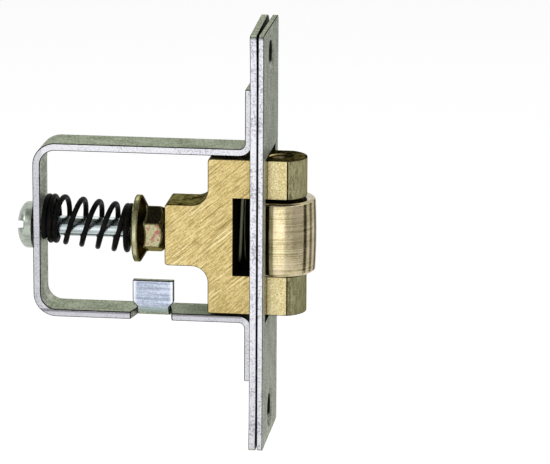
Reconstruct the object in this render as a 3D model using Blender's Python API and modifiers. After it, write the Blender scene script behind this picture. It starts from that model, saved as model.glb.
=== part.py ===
# A mortice roller catch: a sprung brass block with a roller, in a folded steel bracket behind a forend.
# X runs out of the door's edge, Y across the forend and Z along it. The origin is the middle of its front.

import math

import bmesh
import bpy
from mathutils import Matrix, Vector

MM = 0.001

# Forend plates
FOREND_HEIGHT = 70.0 * MM
FOREND_WIDTH = 20.0 * MM
FACE_THICKNESS = 0.9 * MM
PLATE_GAP = 0.3 * MM
BACKING_THICKNESS = 1.1 * MM
SCREW_FROM_END = 4.75 * MM  # from the forend's ends to the middle of the holes
SCREW_HOLE_DIAMETER = 4.0 * MM
COUNTERSINK_DIAMETER = 7.4 * MM
BOW_NEAR = 0.1 * MM  # how far the backing plate's ends spring back, at the near and the far edge
BOW_FAR = 0.6 * MM
OPENING_CLEARANCE = 0.6 * MM  # round the block and the roller, on each side

# Bracket
STRIP_WIDTH = 7.2 * MM
STRIP_THICKNESS = 1.25 * MM
ARM_CLEARANCE = 0.4 * MM  # between the arms and the roller block
BRACKET_DEPTH = 38.1 * MM  # from the forend's front to the rear wall's inner face
FLANGE_LENGTH = 10.0 * MM
FLANGE_GAP = 0.3 * MM
REAR_BEND_RADIUS = 3.2 * MM  # bends are measured at the middle of the sheet
FLANGE_BEND_RADIUS = 1.6 * MM
SHANK_HOLE_CLEARANCE = 0.6 * MM

# Stop tab, folded up from the near edge of the bottom arm
TAB_WIDTH = 6.9 * MM
TAB_WAIST = 5.4 * MM
TAB_FLARE = 0.8 * MM
TAB_HEIGHT = 6.2 * MM  # from the outer face of the arm
TAB_SETBACK = 2.2 * MM
TAB_BEND_RADIUS = 1.1 * MM
BLOCK_TRAVEL = 6.1 * MM

# Roller block
BLOCK_THICKNESS = 8.2 * MM
BLOCK_HEIGHT = 26.3 * MM
BLOCK_CORNER = 0.5 * MM
PIN_AHEAD = 1.7 * MM  # of the forend's front
SLOT_DEPTH_CLEARANCE = 1.4 * MM  # behind the roller
SLOT_HEIGHT = 13.0 * MM
WEB_THICKNESS = 4.25 * MM  # from the slot's wall to the shoulders
NOSE_RADIUS = 4.4 * MM
STEM_HEIGHT = 10.4 * MM
STEM_LENGTH = 7.2 * MM
STEM_FILLET = 2.7 * MM

# Roller and its pin
ROLLER_DIAMETER = 12.0 * MM
ROLLER_END_GAP = 0.3 * MM
ROLLER_CROWN = 0.15 * MM
ROLLER_EDGE = 0.5 * MM
PIN_DIAMETER = 3.0 * MM
PIN_CLEARANCE = 0.2 * MM
PIN_RECESS = 0.9 * MM
PIN_CHAMFER = 0.3 * MM

# Adjusting screw and lock nut
SHANK_DIAMETER = 3.4 * MM
SHANK_CLEARANCE = 0.25 * MM
SHANK_IN_BLOCK = 5.0 * MM
SHANK_CHAMFER = 0.4 * MM
HEAD_DIAMETER = 7.8 * MM
HEAD_HEIGHT = 2.8 * MM
HEAD_EDGE_HEIGHT = 1.5 * MM
HEAD_GAP = 0.3 * MM
DRIVER_SLOT_WIDTH = 1.2 * MM
DRIVER_SLOT_DEPTH = 1.2 * MM
NUT_GAP = 0.3 * MM
NUT_ACROSS_FLATS = 7.0 * MM
NUT_LENGTH = 5.1 * MM
NUT_CHAMFER = 0.35 * MM
NUT_FLANGE_DIAMETER = 11.2 * MM
NUT_RIM = 0.9 * MM
NUT_CONE = 1.2 * MM
NUT_TURN = math.radians(36)  # from a corner towards -Y, so that a flat nearly faces that way

# Compression spring, wound left-handed
WIRE_DIAMETER = 0.95 * MM
SPRING_DIAMETER = 8.3 * MM
SPRING_END_GAP = 0.3 * MM
SPRING_ON_SHANK_GAP = 0.3 * MM  # its rear end rides up until its inside nearly meets the shank below
REAR_CLOSED_TURNS = 2.1
OPEN_TURNS = 4.2
FRONT_CLOSED_TURNS = 1.3
PITCH_TAPER = 0.4  # how much closer the open turns stand at the front than at the rear
COIL_GAP = 0.03 * MM
COIL_POINTS = 20
SPRING_START_ANGLE = math.radians(250)

ROUND_STEPS = 48
HOLE_STEPS = 32
ARC_STEPS = 6
CUT_PAST = 1.0 * MM

# Places along X that follow from the sizes
BACKING_FRONT = -(FACE_THICKNESS + PLATE_GAP)
BACKING_BACK = BACKING_FRONT - BACKING_THICKNESS
FLANGE_MIDDLE = BACKING_BACK - FLANGE_GAP - STRIP_THICKNESS / 2
REAR_INNER = -BRACKET_DEPTH
REAR_MIDDLE = REAR_INNER - STRIP_THICKNESS / 2
REAR_OUTER = REAR_INNER - STRIP_THICKNESS
PIN_X = PIN_AHEAD
SLOT_WALL_X = PIN_X - ROLLER_DIAMETER / 2 - SLOT_DEPTH_CLEARANCE
SHOULDER_X = SLOT_WALL_X - WEB_THICKNESS
STEM_END = SHOULDER_X - STEM_LENGTH
TAB_FRONT = SHOULDER_X - BLOCK_TRAVEL
NUT_FRONT = STEM_END - NUT_GAP
NUT_BACK = NUT_FRONT - NUT_LENGTH
SPRING_FRONT = NUT_BACK - SPRING_END_GAP
SPRING_REAR = REAR_INNER + SPRING_END_GAP
HEAD_FRONT = REAR_OUTER - HEAD_GAP
HEAD_BACK = HEAD_FRONT - HEAD_HEIGHT
SHANK_FRONT = STEM_END + SHANK_IN_BLOCK

# Heights that follow from the sizes
ARM_MIDDLE = BLOCK_HEIGHT / 2 + ARM_CLEARANCE + STRIP_THICKNESS / 2
ARM_OUTER = ARM_MIDDLE + STRIP_THICKNESS / 2
FLANGE_TIP = ARM_OUTER + FLANGE_LENGTH
SPRING_REAR_LIFT = SPRING_DIAMETER / 2 - WIRE_DIAMETER - SHANK_DIAMETER / 2 - SPRING_ON_SHANK_GAP

ALONG_X = Matrix.Rotation(math.radians(90), 4, "Y")  # turns a piece made about Z to lie along X


def clear_scene():
    for obj in list(bpy.data.objects):
        bpy.data.objects.remove(obj, do_unlink=True)


def new_collection(name):
    collection = bpy.data.collections.new(name)
    bpy.context.scene.collection.children.link(collection)
    return collection


def metal(name, colour, roughness):
    material = bpy.data.materials.new(name)
    material.use_nodes = True
    shader = material.node_tree.nodes["Principled BSDF"]
    shader.inputs["Base Color"].default_value = (*colour, 1)
    shader.inputs["Roughness"].default_value = roughness
    shader.inputs["Metallic"].default_value = 1.0
    return material


def add_object(name, bm, collection, material=None):
    """The bmesh as an object, with its flat faces flat and its round ones smooth."""
    mesh = bpy.data.meshes.new(name)
    bm.to_mesh(mesh)
    bm.free()
    mesh.shade_smooth()
    mesh.set_sharp_from_angle(angle=math.radians(30))
    obj = bpy.data.objects.new(name, mesh)
    collection.objects.link(obj)
    if material:
        mesh.materials.append(material)
    return obj


def add_cutter(name, bm):
    cutter = add_object(name, bm, CUTTERS)
    cutter.hide_render = True
    cutter.display_type = "WIRE"
    return cutter


def cut(obj, cutter, operation="DIFFERENCE"):
    boolean = obj.modifiers.new(cutter.name, "BOOLEAN")
    boolean.operation = operation
    boolean.solver = "EXACT"
    boolean.object = cutter


def box(low, high):
    low, high = Vector(low), Vector(high)
    bm = bmesh.new()
    place = Matrix.Translation((low + high) / 2) @ Matrix.Diagonal((*(high - low), 1))
    bmesh.ops.create_cube(bm, size=1, matrix=place)
    return bm


def cone(radius_low, radius_high, length, place, steps=HOLE_STEPS):
    """A capped cone or cylinder on +Z from the origin, then moved by place."""
    bm = bmesh.new()
    up = Matrix.Translation((0, 0, length / 2))
    bmesh.ops.create_cone(
        bm,
        cap_ends=True,
        segments=steps,
        radius1=radius_low,
        radius2=radius_high,
        depth=length,
        matrix=place @ up,
    )
    return bm


def rounded(corners):
    """Points through corners given as (x, y, radius), each radius above 0 made an arc."""
    points = []
    for i, (x, y, radius) in enumerate(corners):
        here = Vector((x, y))
        if not radius:
            points.append(here)
            continue
        back = (Vector(corners[i - 1][:2]) - here).normalized()
        ahead = (Vector(corners[(i + 1) % len(corners)][:2]) - here).normalized()
        half = back.angle(ahead) / 2
        centre = here + (back + ahead).normalized() * radius / math.sin(half)
        start = here + back * radius / math.tan(half) - centre
        sweep = start.angle_signed(here + ahead * radius / math.tan(half) - centre)
        for step in range(ARC_STEPS + 1):
            points.append(centre + Matrix.Rotation(-sweep * step / ARC_STEPS, 2) @ start)
    return points


def prism(outline, to_space, depth):
    """A flat outline extruded by the vector depth. to_space makes each 2D point a 3D one."""
    bm = bmesh.new()
    face = bm.faces.new([bm.verts.new(to_space(point)) for point in outline])
    raised = bmesh.ops.extrude_face_region(bm, geom=[face])["geom"]
    top = [part for part in raised if isinstance(part, bmesh.types.BMVert)]
    bmesh.ops.translate(bm, vec=depth, verts=top)
    bmesh.ops.recalc_face_normals(bm, faces=bm.faces)
    return bm


def turned(name, profile, collection, material=None):
    """A closed (radius, height) profile turned about Z. It runs down its outer side."""
    bm = bmesh.new()
    points = [bm.verts.new((radius, 0, height)) for radius, height in profile]
    on_axis = profile[0][0] == 0 and profile[-1][0] == 0
    ends = points if on_axis else points + points[:1]
    for start, end in zip(ends, ends[1:]):
        bm.edges.new((start, end))
    obj = add_object(name, bm, collection, material)
    screw = obj.modifiers.new("Turn", "SCREW")
    screw.steps = screw.render_steps = ROUND_STEPS
    screw.use_merge_vertices = True
    screw.merge_threshold = 0.00001
    screw.use_smooth_shade = True
    return obj


def quarter_arc(centre, radius, start_degrees, end_degrees):
    turn = math.radians(end_degrees - start_degrees) / ARC_STEPS
    angles = [math.radians(start_degrees) + turn * step for step in range(ARC_STEPS + 1)]
    return [(centre[0] + radius * math.cos(a), centre[1] + radius * math.sin(a)) for a in angles]


def opening_cutter():
    """The forend's opening, which lets the block and the roller through."""
    half_width = max(ROLLER_DIAMETER, BLOCK_THICKNESS) / 2 + OPENING_CLEARANCE
    half_height = BLOCK_HEIGHT / 2 + OPENING_CLEARANCE
    back = BACKING_BACK - BOW_FAR - CUT_PAST
    opening = box((back, -half_width, -half_height), (CUT_PAST, half_width, half_height))
    return add_cutter("forend_opening", opening)


def screw_hole_cutters():
    """Through holes with a 90 degree countersink from the front, near both ends of the forend."""
    cutters = []
    back = BACKING_BACK - BOW_FAR - CUT_PAST
    sink_depth = (COUNTERSINK_DIAMETER - SCREW_HOLE_DIAMETER) / 2
    for end, side in (("top", 1), ("bottom", -1)):
        at = side * (FOREND_HEIGHT / 2 - SCREW_FROM_END)
        hole = cone(
            SCREW_HOLE_DIAMETER / 2,
            SCREW_HOLE_DIAMETER / 2,
            CUT_PAST - back,
            Matrix.Translation((back, 0, at)) @ ALONG_X,
        )
        sink = cone(
            SCREW_HOLE_DIAMETER / 2,
            COUNTERSINK_DIAMETER / 2 + CUT_PAST,
            sink_depth + CUT_PAST,
            Matrix.Translation((-sink_depth, 0, at)) @ ALONG_X,
        )
        cutters += [add_cutter(f"screw_hole_{end}", hole), add_cutter(f"countersink_{end}", sink)]
    return cutters


def face_plate(cutters, material):
    bm = box(
        (-FACE_THICKNESS, -FOREND_WIDTH / 2, -FOREND_HEIGHT / 2),
        (0, FOREND_WIDTH / 2, FOREND_HEIGHT / 2),
    )
    plate = add_object("face_plate", bm, PARTS, material)
    for cutter in cutters:
        cut(plate, cutter)


def backing_plate(cutters, material):
    """A flat strip whose ends spring back past the bracket's flanges, most at the far edge."""
    half = FOREND_HEIGHT / 2
    bow_length = half - FLANGE_TIP
    bm = box((BACKING_BACK, -FOREND_WIDTH / 2, -half), (BACKING_FRONT, FOREND_WIDTH / 2, half))
    for side in (1, -1):
        for step in range(ARC_STEPS):
            level = side * (FLANGE_TIP + bow_length * step / ARC_STEPS)
            geometry = bm.verts[:] + bm.edges[:] + bm.faces[:]
            bmesh.ops.bisect_plane(bm, geom=geometry, plane_co=(0, 0, level), plane_no=(0, 0, 1))
    for vert in bm.verts:
        share = max(0, (abs(vert.co.z) - FLANGE_TIP) / bow_length)
        across = vert.co.y / FOREND_WIDTH + 0.5
        vert.co.x -= share**2 * (BOW_NEAR + (BOW_FAR - BOW_NEAR) * across)
    plate = add_object("backing_plate", bm, PARTS, material)
    for cutter in cutters:
        cut(plate, cutter)


def bracket(material):
    """One strip folded into a U with flanges turned outwards, drawn at mid-sheet and thickened."""
    tab_middle = TAB_FRONT - TAB_WIDTH / 2
    mouth = (tab_middle - TAB_WIDTH / 2, tab_middle + TAB_WIDTH / 2)
    waist = (tab_middle - TAB_WAIST / 2, tab_middle + TAB_WAIST / 2)
    near_edge = -STRIP_WIDTH / 2
    fold = near_edge + TAB_SETBACK + STRIP_THICKNESS / 2 + TAB_BEND_RADIUS
    path = rounded(
        [
            (FLANGE_MIDDLE, FLANGE_TIP, 0),
            (FLANGE_MIDDLE, ARM_MIDDLE, FLANGE_BEND_RADIUS),
            (REAR_MIDDLE, ARM_MIDDLE, REAR_BEND_RADIUS),
            (REAR_MIDDLE, -ARM_MIDDLE, REAR_BEND_RADIUS),
            (mouth[0], -ARM_MIDDLE, 0),
            (waist[0], -ARM_MIDDLE, 0),
            (waist[1], -ARM_MIDDLE, 0),
            (mouth[1], -ARM_MIDDLE, 0),
            (FLANGE_MIDDLE, -ARM_MIDDLE, FLANGE_BEND_RADIUS),
            (FLANGE_MIDDLE, -FLANGE_TIP, 0),
        ]
    )
    bm = bmesh.new()
    row = [bm.verts.new((x, near_edge, z)) for x, z in path]
    edges = [bm.edges.new(pair) for pair in zip(row, row[1:])]
    for width in (fold - near_edge, STRIP_WIDTH / 2 - fold):
        made = bmesh.ops.extrude_edge_only(bm, edges=edges)["geom"]
        new_row = [part for part in made if isinstance(part, bmesh.types.BMVert)]
        bmesh.ops.translate(bm, vec=(0, width, 0), verts=new_row)
        edges = [e for e in made if isinstance(e, bmesh.types.BMEdge) and all(v in new_row for v in e.verts)]
    cut_relief_notches(bm, mouth, waist, near_edge, fold)
    fold_tab(bm, waist, fold)
    bmesh.ops.recalc_face_normals(bm, faces=bm.faces)
    strip = add_object("bracket", bm, PARTS, material)
    thicken = strip.modifiers.new("Thickness", "SOLIDIFY")
    thicken.thickness = STRIP_THICKNESS
    thicken.offset = 0
    thicken.use_even_offset = True
    radius = SHANK_DIAMETER / 2 + SHANK_HOLE_CLEARANCE
    length = STRIP_THICKNESS + 2 * CUT_PAST
    hole = cone(radius, radius, length, Matrix.Translation((REAR_OUTER - CUT_PAST, 0, 0)) @ ALONG_X)
    cut(strip, add_cutter("shank_hole", hole))


def vertex_at(bm, x, y):
    """The vertex of the bottom arm's middle sheet at this place."""
    return min(bm.verts, key=lambda v: (v.co - Vector((x, y, -ARM_MIDDLE))).length)


def cut_relief_notches(bm, mouth, waist, near_edge, fold):
    """Opens the arm's near edge where the tab leaves it, with sides that slant in to the tab's waist."""
    between = ((waist[0] + waist[1]) / 2, (near_edge + fold) / 2, -ARM_MIDDLE)
    face = min(bm.faces, key=lambda f: (f.calc_center_median() - Vector(between)).length)
    bmesh.ops.delete(bm, geom=[face], context="FACES_ONLY")
    slants = {vertex_at(bm, waist[side], near_edge): vertex_at(bm, mouth[side], near_edge) for side in (0, 1)}
    bmesh.ops.delete(bm, geom=[bm.edges.get(list(slants))], context="EDGES")
    bmesh.ops.weld_verts(bm, targetmap=slants)


def fold_tab(bm, waist, fold):
    """Bends the sheet up from the fold line, then flares it to the tab's full width."""
    ends = [vertex_at(bm, x, fold) for x in waist]
    centre = (0, fold, -ARM_MIDDLE + TAB_BEND_RADIUS)
    made = bmesh.ops.spin(
        bm, geom=[*ends, bm.edges.get(ends)], cent=centre, axis=(1, 0, 0), angle=-math.pi / 2, steps=ARC_STEPS
    )["geom_last"]
    middle = (waist[0] + waist[1]) / 2
    top = TAB_HEIGHT - ARM_OUTER
    bend_end = centre[2]
    for height, widen in ((bend_end + TAB_FLARE, TAB_WIDTH / TAB_WAIST), (top, 1)):
        edge = [part for part in made if isinstance(part, bmesh.types.BMEdge)]
        made = bmesh.ops.extrude_edge_only(bm, edges=edge)["geom"]
        new_verts = [part for part in made if isinstance(part, bmesh.types.BMVert)]
        for vert in new_verts:
            vert.co.z = height
            vert.co.x = middle + (vert.co.x - middle) * widen
        made = [bm.edges.get(new_verts)]


def roller_block(material, parent):
    """A T-shaped slab with a round nose, slotted for the roller and drilled for its pin and the screw."""
    front = PIN_X + NOSE_RADIUS + CUT_PAST
    half, stem = BLOCK_HEIGHT / 2, STEM_HEIGHT / 2
    side_view = rounded(
        [
            (front, half, 0),
            (SHOULDER_X, half, BLOCK_CORNER),
            (SHOULDER_X, stem, STEM_FILLET),
            (STEM_END, stem, BLOCK_CORNER),
            (STEM_END, -stem, BLOCK_CORNER),
            (SHOULDER_X, -stem, STEM_FILLET),
            (SHOULDER_X, -half, BLOCK_CORNER),
            (front, -half, 0),
        ]
    )
    depth = BLOCK_THICKNESS + 2 * CUT_PAST
    slab = prism(side_view, lambda p: (p.x, -depth / 2, p.y), (0, depth, 0))
    block = add_object("roller_block", slab, PARTS, material)
    block.parent = parent

    corner = math.degrees(math.asin(min(1, BLOCK_THICKNESS / 2 / NOSE_RADIUS)))
    rear = STEM_END - CUT_PAST
    nose = [Vector(point) for point in quarter_arc((PIN_X, 0), NOSE_RADIUS, -corner, corner)]
    plan = [Vector((rear, -BLOCK_THICKNESS / 2)), *nose, Vector((rear, BLOCK_THICKNESS / 2))]
    height = BLOCK_HEIGHT + 2 * CUT_PAST
    plan_view = prism(plan, lambda p: (p.x, p.y, -height / 2), (0, 0, height))
    cut(block, add_cutter("block_plan", plan_view), "INTERSECT")

    slot = box((SLOT_WALL_X, -depth, -SLOT_HEIGHT / 2), (front + CUT_PAST, depth, SLOT_HEIGHT / 2))
    cut(block, add_cutter("roller_slot", slot))
    pin_clear = PIN_DIAMETER / 2 + PIN_CLEARANCE
    pin_hole = cone(pin_clear, pin_clear, height, Matrix.Translation((PIN_X, 0, -height / 2)))
    cut(block, add_cutter("pin_hole", pin_hole))
    tapping = SHANK_DIAMETER / 2 + SHANK_CLEARANCE
    bore_length = SHANK_IN_BLOCK + SHANK_CLEARANCE + CUT_PAST
    bore = cone(tapping, tapping, bore_length, Matrix.Translation((STEM_END - CUT_PAST, 0, 0)) @ ALONG_X)
    cut(block, add_cutter("screw_bore", bore))


def roller(material, parent):
    """A turned roller, slightly fuller at the middle, with rounded rims."""
    half = SLOT_HEIGHT / 2 - ROLLER_END_GAP
    rim = ROLLER_DIAMETER / 2 - ROLLER_CROWN
    bore = PIN_DIAMETER / 2 + PIN_CLEARANCE
    straight = half - ROLLER_EDGE
    crown = []
    for step in range(1, 2 * ARC_STEPS):
        height = straight * (1 - step / ARC_STEPS)
        crown.append((rim + ROLLER_CROWN * (1 - (height / straight) ** 2), height))
    top = quarter_arc((rim - ROLLER_EDGE, straight), ROLLER_EDGE, 90, 0)
    bottom = quarter_arc((rim - ROLLER_EDGE, -straight), ROLLER_EDGE, 0, -90)
    profile = [(bore, half), *top, *crown, *bottom, (bore, -half)]
    wheel = turned("roller", profile, PARTS, material)
    wheel.parent = parent


def roller_pin(material, parent):
    half = BLOCK_HEIGHT / 2 - PIN_RECESS
    radius = PIN_DIAMETER / 2
    profile = [
        (0, half),
        (radius - PIN_CHAMFER, half),
        (radius, half - PIN_CHAMFER),
        (radius, PIN_CHAMFER - half),
        (radius - PIN_CHAMFER, -half),
        (0, -half),
    ]
    pin = turned("roller_pin", profile, PARTS, material)
    pin.parent = parent


def adjusting_screw(material, parent):
    """A slotted screw with a domed head, lying along X with its head behind the rear wall."""
    length = SHANK_FRONT - HEAD_BACK
    shank, head = SHANK_DIAMETER / 2, HEAD_DIAMETER / 2
    dome = HEAD_HEIGHT - HEAD_EDGE_HEIGHT
    arc = [(head * math.cos(a), dome - dome * math.sin(a)) for a in arc_angles()]
    profile = [
        (0, length),
        (shank - SHANK_CHAMFER, length),
        (shank, length - SHANK_CHAMFER),
        (shank, HEAD_HEIGHT),
        (head, HEAD_HEIGHT),
        *arc,
    ]
    screw = turned("adjusting_screw", profile, PARTS, material)
    screw.parent = parent
    screw.matrix_world = Matrix.Translation((HEAD_BACK, 0, 0)) @ ALONG_X
    slot = box(
        (HEAD_BACK - CUT_PAST, -head - CUT_PAST, -DRIVER_SLOT_WIDTH / 2),
        (HEAD_BACK + DRIVER_SLOT_DEPTH, head + CUT_PAST, DRIVER_SLOT_WIDTH / 2),
    )
    cut(screw, add_cutter("driver_slot", slot))


def arc_angles():
    return [math.pi / 2 * step / ARC_STEPS for step in range(ARC_STEPS + 1)]


def flange_nut(material, parent):
    """A hexagon with a conical flange, which bears on the spring, locked against the block's stem."""
    flat = NUT_ACROSS_FLATS / 2
    corner = flat / math.cos(math.pi / 6)
    rim = NUT_FLANGE_DIAMETER / 2
    collar = NUT_RIM + NUT_CONE
    profile = [(0, collar), (flat, collar), (rim, NUT_RIM), (rim, 0), (0, 0)]
    nut = turned("flange_nut", profile, PARTS, material)
    nut.parent = parent
    nut.matrix_world = Matrix.Translation((NUT_BACK, 0, 0)) @ ALONG_X

    start = NUT_RIM / 2  # inside the flange, so that the two join through a clear overlap
    lie = Matrix.Translation((NUT_BACK + start, 0, 0)) @ Matrix.Rotation(NUT_TURN, 4, "X") @ ALONG_X
    hexagon = add_cutter("nut_hexagon", cone(corner, corner, NUT_LENGTH - start, lie, steps=6))
    chamfer = [
        (0, NUT_LENGTH + CUT_PAST),
        (flat - NUT_CHAMFER - CUT_PAST, NUT_LENGTH + CUT_PAST),
        (corner + CUT_PAST, NUT_LENGTH - (corner - flat + NUT_CHAMFER + CUT_PAST)),
        (corner + CUT_PAST, -CUT_PAST),
        (0, -CUT_PAST),
    ]
    chamfered = turned("nut_chamfer", chamfer, CUTTERS)
    chamfered.hide_render = True
    chamfered.display_type = "WIRE"
    chamfered.matrix_world = Matrix.Translation((NUT_BACK, 0, 0)) @ ALONG_X
    cut(hexagon, chamfered, "INTERSECT")
    cut(nut, hexagon, "UNION")
    bore = SHANK_DIAMETER / 2 + SHANK_CLEARANCE
    length = NUT_LENGTH + 2 * CUT_PAST
    through = cone(bore, bore, length, Matrix.Translation((NUT_BACK - CUT_PAST, 0, 0)) @ ALONG_X)
    cut(nut, add_cutter("nut_bore", through))


def openness(turn):
    """How far the coil is open at this turn: 0 in the closed turns, with a soft change to the open ones."""
    rise = min(1, max(0, (turn - REAR_CLOSED_TURNS) * 2))
    fall = min(1, max(0, (REAR_CLOSED_TURNS + OPEN_TURNS - turn) * 2))
    ramp = min(rise, fall)
    along = (turn - REAR_CLOSED_TURNS) / OPEN_TURNS
    return ramp * ramp * (3 - 2 * ramp) * (1 + PITCH_TAPER * (0.5 - along))


def spring_points():
    """Points along the wire: closed turns at both ends, open ones between, on an axis that leans."""
    turns = REAR_CLOSED_TURNS + OPEN_TURNS + FRONT_CLOSED_TURNS
    count = round(turns * COIL_POINTS)
    closed_pitch = WIRE_DIAMETER + COIL_GAP
    travel = SPRING_FRONT - SPRING_REAR - WIRE_DIAMETER
    spare = travel - turns * closed_pitch
    radius = (SPRING_DIAMETER - WIRE_DIAMETER) / 2
    shares = [openness(turns * i / count) for i in range(count + 1)]
    points, opened = [], 0.0
    for i, share in enumerate(shares):
        turn = turns * i / count
        progress = opened / sum(shares)
        opened += share
        angle = SPRING_START_ANGLE + 2 * math.pi * turn
        y, z = radius * math.sin(angle), radius * math.cos(angle)
        along = closed_pitch * turn + spare * progress
        lift = SPRING_REAR_LIFT * (1 - progress)
        points.append(Vector((SPRING_REAR + WIRE_DIAMETER / 2 + along, y, z + lift)))
    return points


def compression_spring(material):
    curve = bpy.data.curves.new("compression_spring", "CURVE")
    curve.dimensions = "3D"
    curve.bevel_depth = WIRE_DIAMETER / 2
    curve.bevel_resolution = 2
    curve.use_fill_caps = True
    points = spring_points()
    spline = curve.splines.new("POLY")
    spline.points.add(len(points) - 1)
    for target, point in zip(spline.points, points):
        target.co = (*point, 1)
    curve.materials.append(material)
    PARTS.objects.link(bpy.data.objects.new("compression_spring", curve))


def empty(name, place, parent=None):
    holder = bpy.data.objects.new(name, None)
    PARTS.objects.link(holder)
    holder.empty_display_size = 5 * MM
    holder.parent = parent
    holder.location = place
    return holder


clear_scene()
PARTS = new_collection("roller_catch")
CUTTERS = new_collection("cutters")

steel = metal("satin_steel", (0.56, 0.57, 0.55), 0.38)
brass = metal("sawn_brass", (0.72, 0.58, 0.28), 0.36)
bronze = metal("turned_brass", (0.68, 0.58, 0.36), 0.30)
zinc = metal("zinc_plate", (0.60, 0.64, 0.68), 0.32)
passivated = metal("yellow_passivated", (0.48, 0.42, 0.22), 0.35)
spring_steel = metal("oiled_spring_steel", (0.03, 0.03, 0.03), 0.40)

forend_cutters = [opening_cutter(), *screw_hole_cutters()]
face_plate(forend_cutters, steel)
backing_plate(forend_cutters, steel)
bracket(steel)
compression_spring(spring_steel)
carriage = empty("carriage", (0, 0, 0))
pin_axis = empty("pin_axis", (PIN_X, 0, 0), carriage)
roller_block(brass, carriage)
roller(bronze, pin_axis)
roller_pin(zinc, pin_axis)
adjusting_screw(zinc, carriage)
flange_nut(passivated, carriage)
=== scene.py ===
import math

import bmesh
import bpy
from mathutils import Matrix, Quaternion, Vector


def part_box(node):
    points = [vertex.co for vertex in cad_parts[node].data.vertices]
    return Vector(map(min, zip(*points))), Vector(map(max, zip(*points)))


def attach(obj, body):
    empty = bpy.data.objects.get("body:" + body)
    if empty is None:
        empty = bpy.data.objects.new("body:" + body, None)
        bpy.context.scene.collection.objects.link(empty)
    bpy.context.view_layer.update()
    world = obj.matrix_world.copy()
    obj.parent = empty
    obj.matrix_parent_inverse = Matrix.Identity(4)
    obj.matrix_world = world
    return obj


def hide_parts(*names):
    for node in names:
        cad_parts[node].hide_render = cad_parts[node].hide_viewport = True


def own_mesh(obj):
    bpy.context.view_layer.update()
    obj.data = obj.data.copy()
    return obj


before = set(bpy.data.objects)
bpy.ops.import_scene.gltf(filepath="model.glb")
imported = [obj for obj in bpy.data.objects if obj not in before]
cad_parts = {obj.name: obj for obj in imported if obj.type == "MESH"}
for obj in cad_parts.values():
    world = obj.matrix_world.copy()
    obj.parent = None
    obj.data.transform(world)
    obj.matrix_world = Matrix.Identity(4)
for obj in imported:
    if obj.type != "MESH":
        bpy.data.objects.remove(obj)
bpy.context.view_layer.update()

# Camera, first of all.
# It looks at the middle of the forend from the front, a little from the right and from above, so that the
# catch stands left of the middle of the frame and the white beside it stays empty.
MM = 0.001
IMAGE_WIDTH = 550
SENSOR_WIDTH = 36.0
FOCAL_PIXELS = 3792.0
FOCAL_LENGTH = FOCAL_PIXELS / IMAGE_WIDTH * SENSOR_WIDTH
CAMERA_AIM = Vector((0.78, 0.0, 0.12)) * MM
CAMERA_DISTANCE = 629.3 * MM
CAMERA_AZIMUTH = 6.83
CAMERA_ELEVATION = 13.87
CAMERA_ROLL = math.radians(0.32)
CLIP_START, CLIP_END = 0.05, 20.0


def direction(azimuth, elevation):
    """The way from the catch to a place at this azimuth and elevation, in degrees. Azimuth 0 is in front."""
    turn, rise = math.radians(azimuth), math.radians(elevation)
    return Vector((math.sin(turn) * math.cos(rise), -math.cos(turn) * math.cos(rise), math.sin(rise)))


def look_back(place):
    """The turn of a camera, lamp or card at this place that faces the catch."""
    return (-place).to_track_quat("-Z", "Y")


towards_camera = direction(CAMERA_AZIMUTH, CAMERA_ELEVATION)
camera = bpy.data.objects.new("camera", bpy.data.cameras.new("camera"))
bpy.context.scene.collection.objects.link(camera)
camera.data.sensor_width = SENSOR_WIDTH
camera.data.lens = FOCAL_LENGTH
camera.data.clip_start, camera.data.clip_end = CLIP_START, CLIP_END
camera.rotation_mode = "QUATERNION"
camera.location = CAMERA_AIM + towards_camera * CAMERA_DISTANCE
camera.rotation_quaternion = look_back(towards_camera) @ Quaternion((0, 0, 1), CAMERA_ROLL)
bpy.context.scene.camera = camera
bpy.context.scene.view_settings.view_transform = "Standard"

# Floor and light.
# A pale floor well below the catch and a white surround, as in a photographer's light tent. Grey and black
# cards round it show in the metal only, and give the round pieces their bands and the faces their tone.
WHITE = (1, 1, 1, 1)
FLOOR_HEIGHT = -75.0 * MM
FLOOR_RADIUS = 4.0
FLOOR_STEPS = 64
FLOOR_COLOUR = (0.9, 0.9, 0.9, 1)
FLOOR_GLOW = 0.32
SURROUND_ON_SURFACES = 0.6
SOFTBOXES = (
    {"azimuth": -38, "elevation": 42, "distance": 0.75, "width": 0.45, "height": 0.45, "power": 1.6},
    {"azimuth": 52, "elevation": 30, "distance": 0.85, "width": 0.35, "height": 0.35, "power": 0.8},
    {"azimuth": 175, "elevation": 50, "distance": 0.90, "width": 0.50, "height": 0.50, "power": 0.5},
    {"azimuth": -1, "elevation": -9, "distance": 0.200, "width": 0.175, "height": 0.075, "power": 0.013},
    {"azimuth": 3, "elevation": -9, "distance": 0.198, "width": 0.14, "height": 0.075, "power": 0.010},
    {"azimuth": 6, "elevation": -9, "distance": 0.196, "width": 0.08, "height": 0.075, "power": 0.006},
)
CARDS = (
    {"azimuth": 20, "elevation": 62, "distance": 0.55, "width": 0.90, "height": 0.76, "tone": 0.06},
    {"azimuth": -12, "elevation": -45, "distance": 0.085, "width": 0.12, "height": 0.038, "tone": 0.8},
    {"azimuth": 32, "elevation": -8, "distance": 0.23, "width": 0.098, "height": 0.16, "tone": 0.85},
    {"azimuth": 63, "elevation": -8, "distance": 0.23, "width": 0.155, "height": 0.16, "tone": 0.62},
    {"azimuth": 91.5, "elevation": -8, "distance": 0.18, "width": 0.044, "height": 0.16, "tone": 0.0},
    {"azimuth": 119, "elevation": -8, "distance": 0.18, "width": 0.040, "height": 0.16, "tone": 0.15},
    {"azimuth": 151, "elevation": -8, "distance": 0.18, "width": 0.060, "height": 0.16, "tone": 0.15},
    {"azimuth": -88, "elevation": 0, "distance": 0.25, "width": 0.10, "height": 0.22, "tone": 0.08},
)


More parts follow.
